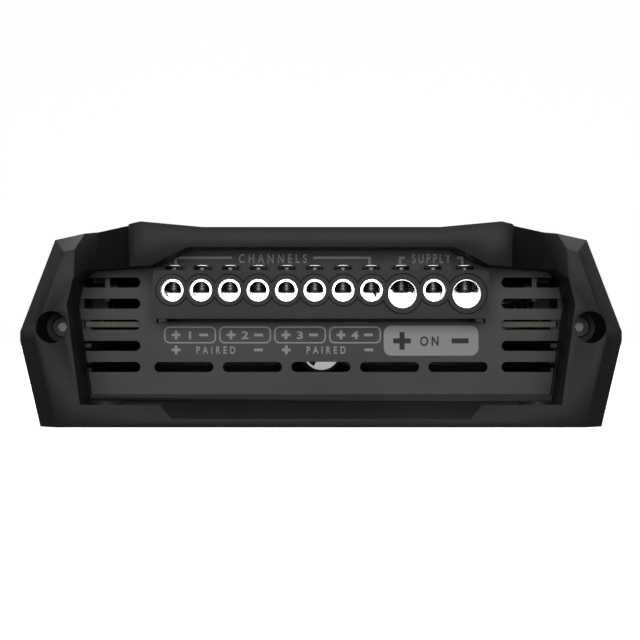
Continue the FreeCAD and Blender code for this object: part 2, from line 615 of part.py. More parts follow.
def wire_clamp(across, kind):
    """A metal clamp: entry land, wider grip chamber, threaded top and a leg down to the board."""
    level = f"{kind}_level"
    long = f"({CLAMP_BACK} - {front_of(kind)})"
    solids = [
        rod((across, front_of(kind), level), f"{kind}_shell", long),
        box((f"{across} - wire_shell", f"{SCREW_AT} - wire_shell", level),
            ("2 * wire_shell", "2 * wire_shell", f"clamp_top - {level}")),
        box((f"{across} - leg_wide / 2", f"{CLAMP_BACK} - 1", f"{level} - leg_wide / 2"),
            ("leg_wide", "clamp_inset + leg_gap + leg_thick + 1", "leg_wide / 2")),
        box((f"{across} - leg_wide / 2", f"{BLOCK_BACK} + leg_gap", BOARD_TOP),
            ("leg_wide", "leg_thick", f"{level} - {BOARD_TOP}")),
    ]
    tools = [
        rod((across, f"{front_of(kind)} - 1", level), f"{kind}_bore", "clamp_land + 1.5"),
        rod((across, f"{front_of(kind)} + clamp_land", level), f"{kind}_bore + clamp_relief",
            f"{long} - clamp_land - clamp_end"),
        rod((across, SCREW_AT, level), "clamp_screw_round + clamp_screw_gap", "block_top", "z"),
    ]
    return cut(fuse(solids), tools)


keep(group([wire_clamp(across, kind) for across, kind in WIRES if kind == "wire"]), "speaker_terminal_clamps")
keep(group([wire_clamp(across, kind) for across, kind in WIRES if kind == "power"]), "power_terminal_clamps")


def clamp_screw(across):
    """A set screw with ring-shaped thread crests, a bevelled top and a hexagonal socket."""
    radius = size("clamp_screw_round")
    tall = size("clamp_screw_long")
    pitch = size("thread_pitch")
    root = radius - size("thread_deep")
    tip = size("tip_bevel")
    top = size("top_bevel")
    points = [(0, 0), (radius - tip, 0), (radius, tip)]
    crest = tip
    while crest + 2 * pitch < tall:
        points += [(radius, crest + pitch / 4), (root, crest + pitch / 2), (root, crest + 3 * pitch / 4),
                   (radius, crest + pitch)]
        crest += pitch
    points += [(radius, tall - top), (radius - top, tall), (0, tall)]
    wire = Part.makePolygon([Vector(out, 0, up) for out, up in points] + [Vector(0, 0, 0)])
    solid = Part.Face(wire).revolve(Vector(0, 0, 0), Vector(0, 0, 1), 360)
    deep = size("socket_deep")
    corners = [Vector(size("hex_flat") / 3 ** 0.5, 0, tall - deep)]
    sixth = Rotation(Vector(0, 0, 1), 60)
    while len(corners) < 6:
        corners.append(sixth.multVec(corners[-1]))
    hexagon = Part.Face(Part.makePolygon(corners + corners[:1]))
    item = doc.addObject("Part::Feature", "clamp_screw")
    item.Shape = solid.cut(hexagon.extrude(Vector(0, 0, 2 * deep)))
    item.Placement = FreeCAD.Placement(Vector(size(across), size(SCREW_AT), size("clamp_screw_tip")), Rotation())
    return item


for number, (across, kind) in enumerate(WIRES, start=1):
    keep(clamp_screw(across), f"terminal_screw_{number:02d}")

# ---- boards ----

keep(box((f"-{INNER} + board_edge", BOARD_FRONT, "board_low"),
         (f"2 * {INNER} - 2 * board_edge", BOARD_LONG, "board_thick")), "main_board")
INPUT_BOARD = f"({BODY_HALF} - input_board_gap)"
keep(box(("-input_board_half", INPUT_BOARD, "input_board_low"),
         ("2 * input_board_half", "board_thick", "input_board_top - input_board_low")), "input_board")
RIBBON_LOW = f"({FAN_LEVEL} + fan_side / 2 + ribbon_gap)"
CONNECTOR = ("2 * connector_half", "connector_deep", f"{RIBBON_LOW} + ribbon_thick + 1 - {BOARD_TOP}")
keep(group([
    box(("-connector_half", f"{BOARD_BACK} - connector_deep - 1", BOARD_TOP), CONNECTOR),
    box(("-connector_half", f"{INPUT_BOARD} - connector_deep", BOARD_TOP), CONNECTOR),
]), "board_connectors")
RIBBON_FROM = f"({BOARD_BACK} - 1)"
keep(box(("-ribbon_half", RIBBON_FROM, RIBBON_LOW),
         ("2 * ribbon_half", f"{INPUT_BOARD} - connector_deep - {RIBBON_FROM}", "ribbon_thick")), "board_ribbon")

# ---- parts on the main board ----

ROWS = [f"({BOARD_FRONT} + {step + 0.5} * {TRANSISTOR_PITCH})" for step in range(1, 6)]


def side_box(side, out, wide, place, half, low, tall):
    """A box standing against an inner side wall: out is its far face's gap from the wall."""
    start = f"{INNER} - ({out}) - {wide}" if side > 0 else f"-{INNER} + {out}"
    return box((start, f"{place} - {half}", low), (wide, f"2 * {half}", tall))


transistors = []
for side in (1, -1):
    for place in ROWS:
        transistors.append(fuse([
            side_box(side, "pad_thick", "transistor_thick", place, TRANSISTOR_HALF, "transistor_low",
                     "transistor_tall"),
            side_box(side, "rib_reach + lead_gap", "lead_thick", place, f"0.8 * {TRANSISTOR_HALF}", BOARD_TOP,
                     f"transistor_low - {BOARD_TOP} + 1"),
        ]))
keep(group(transistors), "power_transistors")
keep(group([side_box(side, "0", "pad_thick", place, f"{TRANSISTOR_HALF} + pad_border", "transistor_low",
                     "transistor_tall") for side in (1, -1) for place in ROWS]), "insulator_pads")
BAR_OUT = "(pad_thick + transistor_thick)"
BAR_FACE = f"({INNER} - {BAR_OUT} - bar_thick)"
BAR_MIDDLE = f"({BOARD_FRONT} + 3.5 * {TRANSISTOR_PITCH})"
bars = []
bar_screws = []
for side in (1, -1):
    blank = side_box(side, BAR_OUT, "bar_thick", BAR_MIDDLE, f"2.85 * {TRANSISTOR_PITCH}",
                     f"{CLAMP_LEVEL} - bar_half", "2 * bar_half")
    holes = []
    for place in CLAMP_ROWS:
        start = f"{BAR_FACE} - 1" if side > 0 else f"-{BAR_FACE} - bar_thick - 1"
        holes.append(rod((start, place, CLAMP_LEVEL), "screw_round + screw_gap", "bar_thick + 2", "x"))
        head = f"{BAR_FACE} - bar_head_tall" if side > 0 else f"-{BAR_FACE}"
        shank_long = f"({BAR_OUT} + bar_thick + chamber_wall - 2 * screw_gap)"
        shank = BAR_FACE if side > 0 else f"-{BAR_FACE} - {shank_long}"
        bar_screws.append(fuse([
            rod((head, place, CLAMP_LEVEL), "head_round", "bar_head_tall", "x"),
            rod((shank, place, CLAMP_LEVEL), "screw_round", shank_long, "x"),
        ]))
    bars.append(cut(blank, holes))
keep(group(bars), "transistor_clamp_bars")
keep(group(bar_screws), "clamp_bar_screws")

CAN_ROW = f"({BOARD_FRONT} + 0.16 * {BOARD_LONG})"
keep(group([rounded(rod((f"can_first + {step} * can_pitch", CAN_ROW, BOARD_TOP), "can_round", "can_tall", "z"),
                    "can_edge", lambda middle, edge: edge.Closed and middle.z > size(f"{BOARD_TOP} + 1"))
            for step in range(4)]), "filter_capacitors")
RING_AT = ("0", f"{BOARD_FRONT} + 0.407 * {BOARD_LONG}")
CORE_LOW = f"({BOARD_TOP} + core_lift)"


def ring_core():
    """The ferrite ring of the transformer."""
    return cut(rod((*RING_AT, CORE_LOW), "core_outer", "core_tall", "z"),
               [rod((*RING_AT, f"{CORE_LOW} - 1"), "core_inner", "core_tall + 2", "z")])


def winding(start):
    """One half of the winding: a thick skin round the core over an arc."""
    outer = rod((*RING_AT, f"{CORE_LOW} - winding_rise"), "core_outer + winding_thick",
                "core_tall + 2 * winding_rise", "z")
    outer.Angle = 150
    outer.Placement.Rotation = Rotation(Vector(0, 0, 1), start)
    hole = rod((*RING_AT, f"{CORE_LOW} - 2 * winding_rise"), "core_inner - winding_thick",
               "core_tall + 4 * winding_rise", "z")
    return cut(outer, [hole, ring_core()])


keep(ring_core(), "transformer_core")
keep(group([winding(15), winding(195)]), "transformer_winding")

CHOKE_ROW = f"{BOARD_FRONT} + 0.668 * {BOARD_LONG}"
CHOKES = [(f"{step} * choke_pitch", CHOKE_ROW) for step in (-1.5, -0.5, 0.5, 1.5)]
WINDING_LOW = f"({BOARD_TOP} + choke_flange)"
WINDING_TALL = "(choke_tall - 2 * choke_flange)"
cores = []
coils = []
for x, y in CHOKES:
    cores.append(fuse([
        rod((x, y, BOARD_TOP), "choke_round / 2", "choke_tall", "z"),
        rod((x, y, BOARD_TOP), "choke_round", "choke_flange", "z"),
        rod((x, y, f"{WINDING_LOW} + {WINDING_TALL}"), "choke_round", "choke_flange", "z"),
    ]))
    coils.append(cut(rod((x, y, WINDING_LOW), "choke_round - choke_winding_inset", WINDING_TALL, "z"),
                     [rod((x, y, BOARD_TOP), "choke_round / 2", "choke_tall", "z")]))
keep(group(cores), "inductor_cores")
keep(group(coils), "inductor_windings")

# ---- fan ----


def fan_corners(start, radius, length):
    """Rods through the four corner holes of the fan."""
    return [rod((across, start, f"{FAN_LEVEL} + {up}"), radius, length)
            for across in (f"-{FAN_HOLE}", FAN_HOLE) for up in (FAN_HOLE, f"-{FAN_HOLE}")]


def fan_frame():
    """A square duct with a motor mount on three spokes at its far side."""
    duct = cut(box(("-fan_side / 2", FAN, f"{FAN_LEVEL} - fan_side / 2"), ("fan_side", "fan_thick", "fan_side")),
               [rod(("0", f"{FAN} - 1", FAN_LEVEL), FAN_BORE, "fan_thick + 2")]
               + fan_corners(f"{FAN} - 1", "screw_round + screw_gap", "fan_thick + 2"))
    back = f"({FAN} + fan_thick - mount_thick)"
    solids = [duct, rod(("0", back, FAN_LEVEL), "hub_round", "mount_thick")]
    for angle in (90, 210, 330):
        spoke = box(("0", back, FAN_LEVEL), (f"{FAN_BORE} + 0.2", "mount_thick", "mount_thick"))
        spoke.Placement.Rotation = Rotation(Vector(0, 1, 0), -angle)
        solids.append(spoke)
    solids.append(rod(("0", f"{FAN} + axle_start", FAN_LEVEL), "axle_round", "fan_thick - axle_start"))
    return fuse(solids)


def fan_rotor():
    """A cup-shaped hub with seven pitched blades, turning on the frame's axle."""
    hub_long = size("hub_long")
    hub_round = size("hub_round")
    along = Vector(0, 1, 0)
    front = Vector(0, size(f"{FAN} + hub_gap"), size(FAN_LEVEL))
    thick = size("blade_thick")
    wide = size("blade_wide")
    overlap = 0.6
    hub = Part.makeCylinder(hub_round, hub_long, front, along)
    for blade in range(7):
        corner = Vector(hub_round - overlap, -thick / 2, -wide / 2)
        leaf = Part.makeBox(size(BLADE_ROUND) - hub_round + overlap, thick, wide, corner)
        leaf.rotate(Vector(), Vector(1, 0, 0), size("blade_pitch"))
        leaf.rotate(Vector(), along, blade * 360 / 7)
        leaf.translate(front + along * hub_long / 2)
        hub = hub.fuse(leaf)
    trim = Part.makeCylinder(size(BLADE_ROUND), hub_long, front, along)
    bore = Part.makeCylinder(size("axle_round + axle_gap"), hub_long, front + along * size("hub_floor"), along)
    item = doc.addObject("Part::Feature", "rotor")
    item.Shape = hub.common(trim).cut(bore).removeSplitter()
    item.Placement = FreeCAD.Placement()
    return item


def fan_bracket():
    """An angle bracket: the fan is screwed to its upright and its foot to the base plate."""
    upright = box(("-fan_side / 2", BRACKET, PLATE_TOP),
                  ("fan_side", "bracket_thick", f"{FAN_LEVEL} + fan_side / 2 - {PLATE_TOP}"))
    foot = box(("-fan_side / 2", BRACKET, PLATE_TOP),
               ("fan_side", "bracket_thick + bracket_foot", "bracket_thick"))
    tools = [rod(("0", f"{BRACKET} - 1", FAN_LEVEL), f"{FAN_BORE} - 1", "bracket_thick + 2")]
    tools += fan_corners(f"{BRACKET} - 1", "screw_round", "bracket_thick + 2")
    tools += [rod((x, y, PLATE_TOP), "small_round + screw_gap", "bracket_thick", "z") for x, y in bracket_holes]
    return cut(fuse([upright, foot]), tools)


BRACKET = f"({FAN} + fan_thick)"
keep(fan_frame(), "fan_frame")
keep(fan_rotor(), "fan_rotor")
keep(fan_bracket(), "fan_bracket")
heads = fan_corners(f"{FAN} - fan_head_tall", "head_round", "fan_head_tall")
shanks = fan_corners(f"{FAN} - fan_head_tall / 2", "screw_round", "fan_thick + bracket_thick + fan_head_tall")
keep(group([fuse([head, shank]) for head, shank in zip(heads, shanks)]), "fan_screws")
keep(group([fuse([
    rod((x, y, f"{PLATE_TOP} + bracket_thick"), "plate_head_round", "bracket_head_tall", "z"),
    rod((x, y, "plate_low"), "small_round", "plate_thick + bracket_thick + bracket_head_tall / 2", "z"),
]) for x, y in bracket_holes]), "bracket_screws")

# ---- input end: jacks, sockets, knobs, switches and lenses ----

CONTROL_BACK = f"({INPUT_BOARD} + board_thick)"
CONTROL_DEEP = f"({REAR_PANEL} - {CONTROL_BACK})"
ROW_PAIR = ("upper_row", "lower_row")
JACKS = [(f"(jack_left + {column} * jack_pitch)", row) for column in (0, 1) for row in ROW_PAIR]
KNOBS = [(f"(knob_left + {column} * knob_pitch)", row) for column in (0, 1) for row in ROW_PAIR]
SWITCHES = [("switch_at", row) for row in ROW_PAIR]
LENSES = [("lens_at", "upper_row"), ("lens_at", "(upper_row - lens_drop)")]

keep(box(("jack_left - jack_border", CONTROL_BACK, "lower_row - jack_border"),
         ("jack_pitch + 2 * jack_border", CONTROL_DEEP, "upper_row - lower_row + 2 * jack_border")),
     "input_jack_block")
keep(group([cut(fuse([rod((x, REAR_PANEL, z), "shell_outer", "shell_long"),
                      rod((x, REAR_PANEL, z), "shell_outer + shell_foot", "panel_thick + shell_foot")]),
                [rod((x, f"{REAR_PANEL} - 1", z), "shell_inner", "shell_long + 2")]) for x, z in JACKS]),
     "input_jack_shells")
for label, places in (("left_jack_insulators", JACKS[0::2]), ("right_jack_insulators", JACKS[1::2])):
    keep(group([cut(rod((x, REAR_PANEL, z), "shell_inner", "insulator_tall"),
                    [rod((x, f"{REAR_PANEL} - 1", z), "contact_outer", "insulator_tall + 2")])
                for x, z in places]), label)
keep(group([cut(rod((x, REAR_PANEL, z), "contact_outer", "shell_long - 2"),
                [rod((x, f"{REAR_PANEL} + contact_floor", z), "contact_bore", "shell_long")]) for x, z in JACKS]),
     "input_jack_contacts")


def knob(x, z):
    """A ribbed thumb knob with a pointer slot, on its own shaft."""
    start = f"({REAR_PANEL} + panel_thick + knob_gap)"
    cap = rod((x, start, z), "knob_round", "knob_long")
    tools = []
    for angle in range(0, 360, 20):
        turn = Rotation(Vector(0, 1, 0), angle).multVec(Vector(1, 0, 0))
        rim = (f"{x} + {turn.x:.4f} * knob_round", f"{start} + grip_start", f"{z} + {turn.z:.4f} * knob_round")
        tools.append(rod(rim, "grip_round", "knob_long"))
    tools.append(box((f"{x} - pointer_wide / 2", f"{start} + knob_long - pointer_deep", z),
                     ("pointer_wide", "2 * pointer_deep", "knob_round + 1")))
    shaft = rod((x, f"{REAR_PANEL} - pot_thick + 1", z), "shaft_round", "pot_thick + panel_thick")
    return fuse([cut(cap, tools), shaft])


for label, (x, z) in zip(("front_gain_knob", "front_crossover_knob", "rear_gain_knob", "rear_crossover_knob"),
                         KNOBS):
    keep(knob(x, z), label)
keep(group([cut(box((f"{x} - pot_half", CONTROL_BACK, f"{z} - pot_half"),
                    ("2 * pot_half", CONTROL_DEEP, "2 * pot_half")),
                [rod((x, f"{REAR_PANEL} - pot_thick", z), "shaft_round + shaft_gap", "pot_thick + 1")])
            for x, z in KNOBS]), "potentiometer_bodies")


def slider(x, z):
    """The moving contact carrier of a slide switch with its square thumb stem."""
    base = f"({REAR_PANEL} - carrier_start)"
    return fuse([
        box((f"{x} - carrier_half", base, f"{z} - carrier_rise"),
            ("2 * carrier_half", "carrier_rise", "2 * carrier_rise")),
        box((f"{x} - slider_half", base, f"{z} - slider_half"),
            ("2 * slider_half", "slider_long", "2 * slider_half")),
    ])


def switch_body(x, z):
    """The fixed body of a slide switch, open to the rear, with room for the carrier's throw."""
    room = "carrier_half + switch_throw + slider_gap"
    return cut(box((f"{x} - switch_half", CONTROL_BACK, f"{z} - switch_rise"),
                   ("2 * switch_half", CONTROL_DEEP, "2 * switch_rise")),
               [box((f"{x} - ({room})", f"{REAR_PANEL} - carrier_start - slider_gap",
                     f"{z} - carrier_rise - slider_gap"),
                    (f"2 * ({room})", "2 * carrier_start", "2 * (carrier_rise + slider_gap)"))])


for label, (x, z) in zip(("front_mode_switch", "rear_mode_switch"), SWITCHES):
    keep(slider(x, z), label)
keep(group([switch_body(x, z) for x, z in SWITCHES]), "slide_switch_bodies")

SOCKET_LOW = ("(socket_at - socket_half)", "(upper_row - socket_rise)")
PORT_LOW = ("(socket_at - port_half)", "(lower_row - port_low_drop)")
socket_mouth = box(
    (f"{SOCKET_LOW[0]} + socket_wall", f"{CONTROL_BACK} + socket_floor", f"{SOCKET_LOW[1]} + socket_wall"),
    ("2 * (socket_half - socket_wall)", "2 * input_board_gap", "2 * (socket_rise - socket_wall)"))
keep(cut(box((SOCKET_LOW[0], CONTROL_BACK, SOCKET_LOW[1]),
             ("2 * socket_half", f"{CONTROL_DEEP} + panel_thick + socket_out", "2 * socket_rise")),
         [socket_mouth]), "high_level_socket")
PORT_FLOOR = f"{CONTROL_BACK} + port_wall"
PORT_SILL = f"{PORT_LOW[1]} + port_wall"
port_mouth = box((f"{PORT_LOW[0]} + port_wall", PORT_FLOOR, PORT_SILL),
                 ("2 * (port_half - port_wall)", "2 * input_board_gap", "port_mouth"))
port_key = box(("socket_at - key_half", PORT_FLOOR, PORT_SILL),
               ("2 * key_half", "2 * input_board_gap", "port_mouth + key_top"))
keep(cut(box((PORT_LOW[0], CONTROL_BACK, PORT_LOW[1]),
             ("2 * port_half", f"{CONTROL_DEEP} + panel_thick + port_out", "2 * port_low_drop")),
         [port_mouth, port_key]), "remote_port")
keep(group([box((f"{SOCKET_LOW[0]} + pin_first + {step} * pin_pitch", f"{CONTROL_BACK} + socket_floor",
                 "upper_row - pin_side / 2"), ("pin_side", "pin_long", "pin_side")) for step in range(4)]),
     "high_level_pins")
keep(group([rounded(rod((x, CONTROL_BACK, z), "lens_round", f"{CONTROL_DEEP} + panel_thick + lens_edge"),
                    "lens_edge", lambda middle, edge: edge.Closed and middle.y > size(REAR_PANEL))
            for x, z in LENSES]), "status_lenses")

rear_cuts = []
BEHIND = f"{REAR_PANEL} - 1"
THROUGH = "panel_thick + 2"
for x, z in JACKS:
    rear_cuts.append(rod((x, BEHIND, z), "shell_outer + shell_foot + window_gap", THROUGH))
for x, z in KNOBS:
    rear_cuts.append(rod((x, BEHIND, z), "shaft_round + knob_gap", THROUGH))
for x, z in LENSES:
    rear_cuts.append(rod((x, BEHIND, z), "lens_round + window_gap", THROUGH))
for x, z in SWITCHES:
    wide = "slider_half + switch_throw + knob_gap"
    rear_cuts.append(box((f"{x} - ({wide})", BEHIND, f"{z} - slider_half - knob_gap"),
                         (f"2 * ({wide})", THROUGH, "2 * (slider_half + knob_gap)")))
for (low_x, low_z), half, rise in ((SOCKET_LOW, "socket_half", "socket_rise"),
                                   (PORT_LOW, "port_half", "port_low_drop")):
    rear_cuts.append(box((f"{low_x} - window_gap", BEHIND, f"{low_z} - window_gap"),
                         (f"2 * ({half} + window_gap)", THROUGH, f"2 * ({rise} + window_gap)")))
for step in range(-2, 3):
    middle = f"{step} * low_slot_pitch"
    rear_cuts += slot_shape(f"{middle} - low_slot_long / 2", f"{middle} + low_slot_long / 2",
                            "height - rear_slot_drop", REAR_PANEL)
keep(cut(panel_plate("rear_plate", REAR_PANEL), rear_cuts), "rear_panel")

# ---- check and write ----

doc.recompute()
for item in doc.Objects:
    if {"Invalid", "Error"} & set(item.State):
        raise ValueError(f"{item.Label} failed: {item.State}")
for item in parts:
    if item.Shape.isNull() or not item.Shape.isValid() or not item.Shape.Solids:
        raise ValueError(f"{item.Label} has no valid shape")
os.makedirs("parts", exist_ok=True)
for item in parts:
    item.Shape.exportStep(os.path.join("parts", f"{item.Label}.step"))
print(len(parts), "sub-parts written")
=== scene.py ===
from math import pi, radians
import bmesh
import bpy
from mathutils import Matrix, Vector


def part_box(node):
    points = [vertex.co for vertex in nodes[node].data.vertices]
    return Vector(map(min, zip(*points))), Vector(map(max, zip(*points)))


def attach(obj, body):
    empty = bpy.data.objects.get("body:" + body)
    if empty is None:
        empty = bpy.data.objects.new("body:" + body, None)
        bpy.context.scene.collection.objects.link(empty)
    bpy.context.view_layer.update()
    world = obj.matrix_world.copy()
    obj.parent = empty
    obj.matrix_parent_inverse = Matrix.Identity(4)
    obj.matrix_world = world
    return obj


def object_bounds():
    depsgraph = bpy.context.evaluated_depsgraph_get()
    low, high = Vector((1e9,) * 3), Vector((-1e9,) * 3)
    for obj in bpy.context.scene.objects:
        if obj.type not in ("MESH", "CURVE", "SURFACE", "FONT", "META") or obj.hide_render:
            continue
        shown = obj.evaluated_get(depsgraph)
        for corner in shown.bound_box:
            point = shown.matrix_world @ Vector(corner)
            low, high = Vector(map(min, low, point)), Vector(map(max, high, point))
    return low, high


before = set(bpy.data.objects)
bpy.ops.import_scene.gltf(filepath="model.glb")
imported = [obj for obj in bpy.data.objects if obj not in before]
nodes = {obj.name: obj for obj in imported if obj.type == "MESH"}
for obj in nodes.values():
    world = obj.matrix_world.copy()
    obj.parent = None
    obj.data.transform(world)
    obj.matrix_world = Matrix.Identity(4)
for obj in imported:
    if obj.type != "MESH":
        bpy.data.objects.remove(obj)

cad_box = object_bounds()

# ---- Studio ----
# A pale table that curves up into a backdrop, a wide soft light overhead and soft lights low in front
# and behind, and a level camera square on to the terminal end.
table_half = 3.0
sweep_radius = 0.8
sweep_start = 2.2
mesh = bpy.data.meshes.new("table")
form = bmesh.new()
first = form.verts.new((-table_half, -table_half, 0))
last = form.verts.new((table_half, -table_half, 0))
edge = form.edges.new((first, last))
run = bmesh.ops.extrude_edge_only(form, edges=[edge])["geom"]
moved = [item for item in run if isinstance(item, bmesh.types.BMVert)]
bmesh.ops.translate(form, vec=(0, table_half + sweep_start, 0), verts=moved)
edge = [item for item in run if isinstance(item, bmesh.types.BMEdge)]
bmesh.ops.spin(form, geom=edge, cent=(0, sweep_start, sweep_radius), axis=(1, 0, 0), angle=pi / 2, steps=16)
top = max(vert.co.z for vert in form.verts)
rim = [line for line in form.edges if all(abs(vert.co.z - top) < 1e-5 for vert in line.verts)]
run = bmesh.ops.extrude_edge_only(form, edges=rim)["geom"]
moved = [item for item in run if isinstance(item, bmesh.types.BMVert)]
bmesh.ops.translate(form, vec=(0, 0, 2.4), verts=moved)
bmesh.ops.remove_doubles(form, verts=form.verts, dist=1e-5)
bmesh.ops.recalc_face_normals(form, faces=form.faces)
form.to_mesh(mesh)
form.free()
mesh.shade_smooth()
table = bpy.data.objects.new("table", mesh)
bpy.context.scene.collection.objects.link(table)
paper = bpy.data.materials.new("pale paper")
paper.use_nodes = True
paper_shader = paper.node_tree.nodes["Principled BSDF"]
paper_shader.inputs["Base Color"].default_value = (0.9, 0.9, 0.9, 1)
paper_shader.inputs["Roughness"].default_value = 0.9
paper_shader.inputs["Specular IOR Level"].default_value = 0.1
paper_shader.inputs["Emission Color"].default_value = (1, 1, 1, 1)
paper_shader.inputs["Emission Strength"].default_value = 0.8
mesh.materials.append(paper)
table.visible_diffuse = False
table.visible_glossy = False
bpy.context.scene.view_settings.view_transform = "Standard"

world = bpy.data.worlds.new("studio")
bpy.context.scene.world = world
world.use_nodes = True
world.node_tree.nodes["Background"].inputs["Color"].default_value = (1, 1, 1, 1)
world.node_tree.nodes["Background"].inputs["Strength"].default_value = 0.14


def soft_light(name, place, aim, width, height, power):
    """A rectangular soft light at place, turned to face aim."""
    data = bpy.data.lights.new(name, "AREA")
    data.shape = "RECTANGLE"
    data.size = width
    data.size_y = height
    data.energy = power
    lamp = bpy.data.objects.new(name, data)
    lamp.location = place
    lamp.rotation_euler = (Vector(aim) - Vector(place)).to_track_quat("-Z", "Y").to_euler()
    bpy.context.scene.collection.objects.link(lamp)


soft_light("overhead", (0, 0, 1.2), (0, 0, 0), 1.4, 1.4, 17)
soft_light("front", (0, -1.6, 0.2), (0, 0, 0.03), 0.9, 0.6, 8)
soft_light("back", (0, 1.6, 0.2), (0, 0, 0.03), 0.9, 0.6, 8)
soft_light("left", (-1.5, 0, 0.6), (0, 0, 0.03), 0.7, 0.7, 1.2)
soft_light("right", (1.5, 0, 0.6), (0, 0, 0.03), 0.7, 0.7, 1.2)

camera_data = bpy.data.cameras.new("camera")
camera_data.lens = 112.5
camera_data.sensor_width = 36
camera_data.clip_start = 0.01
camera = bpy.data.objects.new("camera", camera_data)
camera.location = (-0.00028, cad_box[0][1] - 0.56, 0.0301)
camera.rotation_euler = (pi / 2, 0, 0)
bpy.context.scene.collection.objects.link(camera)
bpy.context.scene.camera = camera

# ---- Cast end caps ----
# Two aluminium castings from one mould. A coarse black powder coat grips the lower half, and the
# upper half is finished smoother and painted lighter as painted light. The edges are a little rounded by the mould
# and the paint.


def finish(name, colour, rough, metal=0.0, grain=1500.0, bump=0.15, mottle=0.12, speckle=0.0):
    """A material with uneven colour and gloss and a fine bump: paint, moulded plastic or metal."""
    material = bpy.data.materials.new(name)
    material.use_nodes = True
    tree = material.node_tree
    shader = tree.nodes["Principled BSDF"]
    shader.inputs["Metallic"].default_value = metal
    place = tree.nodes.new("ShaderNodeTexCoord")
    place.name = "place"
    cloud = tree.nodes.new("ShaderNodeTexNoise")
    cloud.inputs["Scale"].default_value = 38.0
    cloud.inputs["Detail"].default_value = 5.0
    tree.links.new(place.outputs["Object"], cloud.inputs["Vector"])
    tint = tree.nodes.new("ShaderNodeValToRGB")
    tint.color_ramp.elements[0].position = 0.3
    tint.color_ramp.elements[1].position = 0.7
    tint.color_ramp.elements[0].color = (*[part * (1 - mottle) for part in colour], 1)
    tint.color_ramp.elements[1].color = (*[min(1, part * (1 + mottle)) for part in colour], 1)
    tree.links.new(cloud.outputs["Fac"], tint.inputs["Fac"])
    fine = tree.nodes.new("ShaderNodeTexNoise")
    fine.name = "grain"
    fine.inputs["Scale"].default_value = grain
    fine.inputs["Detail"].default_value = 3.0
    tree.links.new(place.outputs["Object"], fine.inputs["Vector"])
    grit = tree.nodes.new("ShaderNodeMapRange")
    grit.inputs["From Min"].default_value = 0.3
    grit.inputs["From Max"].default_value = 0.7
    grit.inputs["To Min"].default_value = 1 - speckle
    grit.inputs["To Max"].default_value = 1 + speckle
    tree.links.new(fine.outputs["Fac"], grit.inputs["Value"])
    shade = tree.nodes.new("ShaderNodeVectorMath")
    shade.name = "shade"
    shade.operation = "SCALE"
    tree.links.new(tint.outputs["Color"], shade.inputs[0])
    tree.links.new(grit.outputs["Result"], shade.inputs["Scale"])
    tree.links.new(shade.outputs["Vector"], shader.inputs["Base Color"])
    gloss = tree.nodes.new("ShaderNodeMapRange")
    gloss.inputs["To Min"].default_value = max(0.02, rough - 0.06)
    gloss.inputs["To Max"].default_value = min(1.0, rough + 0.06)
    tree.links.new(cloud.outputs["Fac"], gloss.inputs["Value"])
    tree.links.new(gloss.outputs["Result"], shader.inputs["Roughness"])
    relief = tree.nodes.new("ShaderNodeBump")
    relief.name = "relief"
    relief.inputs["Strength"].default_value = bump
    relief.inputs["Distance"].default_value = 0.0002
    tree.links.new(fine.outputs["Fac"], relief.inputs["Height"])
    tree.links.new(relief.outputs["Normal"], shader.inputs["Normal"])
    return material


def dress(names, material, edge=0.0, sharp=50):
    """Gives CAD nodes their material, smooth curved faces and, where edge is set, rounded edges."""
    for name in names:
        node = nodes[name]
        node.data.materials.clear()
        node.data.materials.append(material)
        node.data.polygons.foreach_set("use_smooth", [True] * len(node.data.polygons))
        weld = node.modifiers.new("weld", "WELD")
        weld.merge_threshold = 1e-6
        if edge:
            rim = node.modifiers.new("rim", "BEVEL")
            rim.width = edge
            rim.segments = 2
            rim.limit_method = "ANGLE"
            rim.angle_limit = radians(32)
            rim.harden_normals = True
        else:
            split = node.modifiers.new("split", "EDGE_SPLIT")
            split.split_angle = radians(sharp)


def repaint(name, material, chosen):
    """Gives the faces of a CAD node that chosen picks another material."""
    node = nodes[name]
    node.data.materials.append(material)
    for face in node.data.polygons:
        if chosen(face):
            face.material_index = len(node.data.materials) - 1


def by_height(tree, low, high):
    """A value that changes from low to high as a point passes the waist of the casting."""
    height = tree.nodes.new("ShaderNodeSeparateXYZ")
    tree.links.new(tree.nodes["place"].outputs["Object"], height.inputs["Vector"])
    value = tree.nodes.new("ShaderNodeMapRange")
    value.inputs["From Min"].default_value = 0.0262
    value.inputs["From Max"].default_value = 0.0282
    value.inputs["To Min"].default_value = low
    value.inputs["To Max"].default_value = high
    tree.links.new(height.outputs["Z"], value.inputs["Value"])
    return value.outputs["Result"]


cast_paint = finish("cast black paint", (0.0145, 0.0132, 0.0138), 0.5, grain=2600, bump=0.35, speckle=0.35)
tree = cast_paint.node_tree
tree.nodes["Principled BSDF"].inputs["Specular IOR Level"].default_value = 0.38
# The base colour is painted darker below the waist and lighter above it: painted light, for the upper face catching
# more light as it leans back.
upper_painted_light = tree.nodes.new("ShaderNodeVectorMath")
upper_painted_light.operation = "SCALE"
tree.links.new(tree.nodes["shade"].outputs["Vector"], upper_painted_light.inputs[0])
tree.links.new(by_height(tree, 0.75, 1.5), upper_painted_light.inputs["Scale"])
tree.links.new(upper_painted_light.outputs["Vector"], tree.nodes["Principled BSDF"].inputs["Base Color"])
tree.links.new(by_height(tree, 0.4, 0.12), tree.nodes["relief"].inputs["Strength"])
caps = ["front_end_cap", "rear_end_cap"]
dress(caps, cast_paint, edge=0.0003)

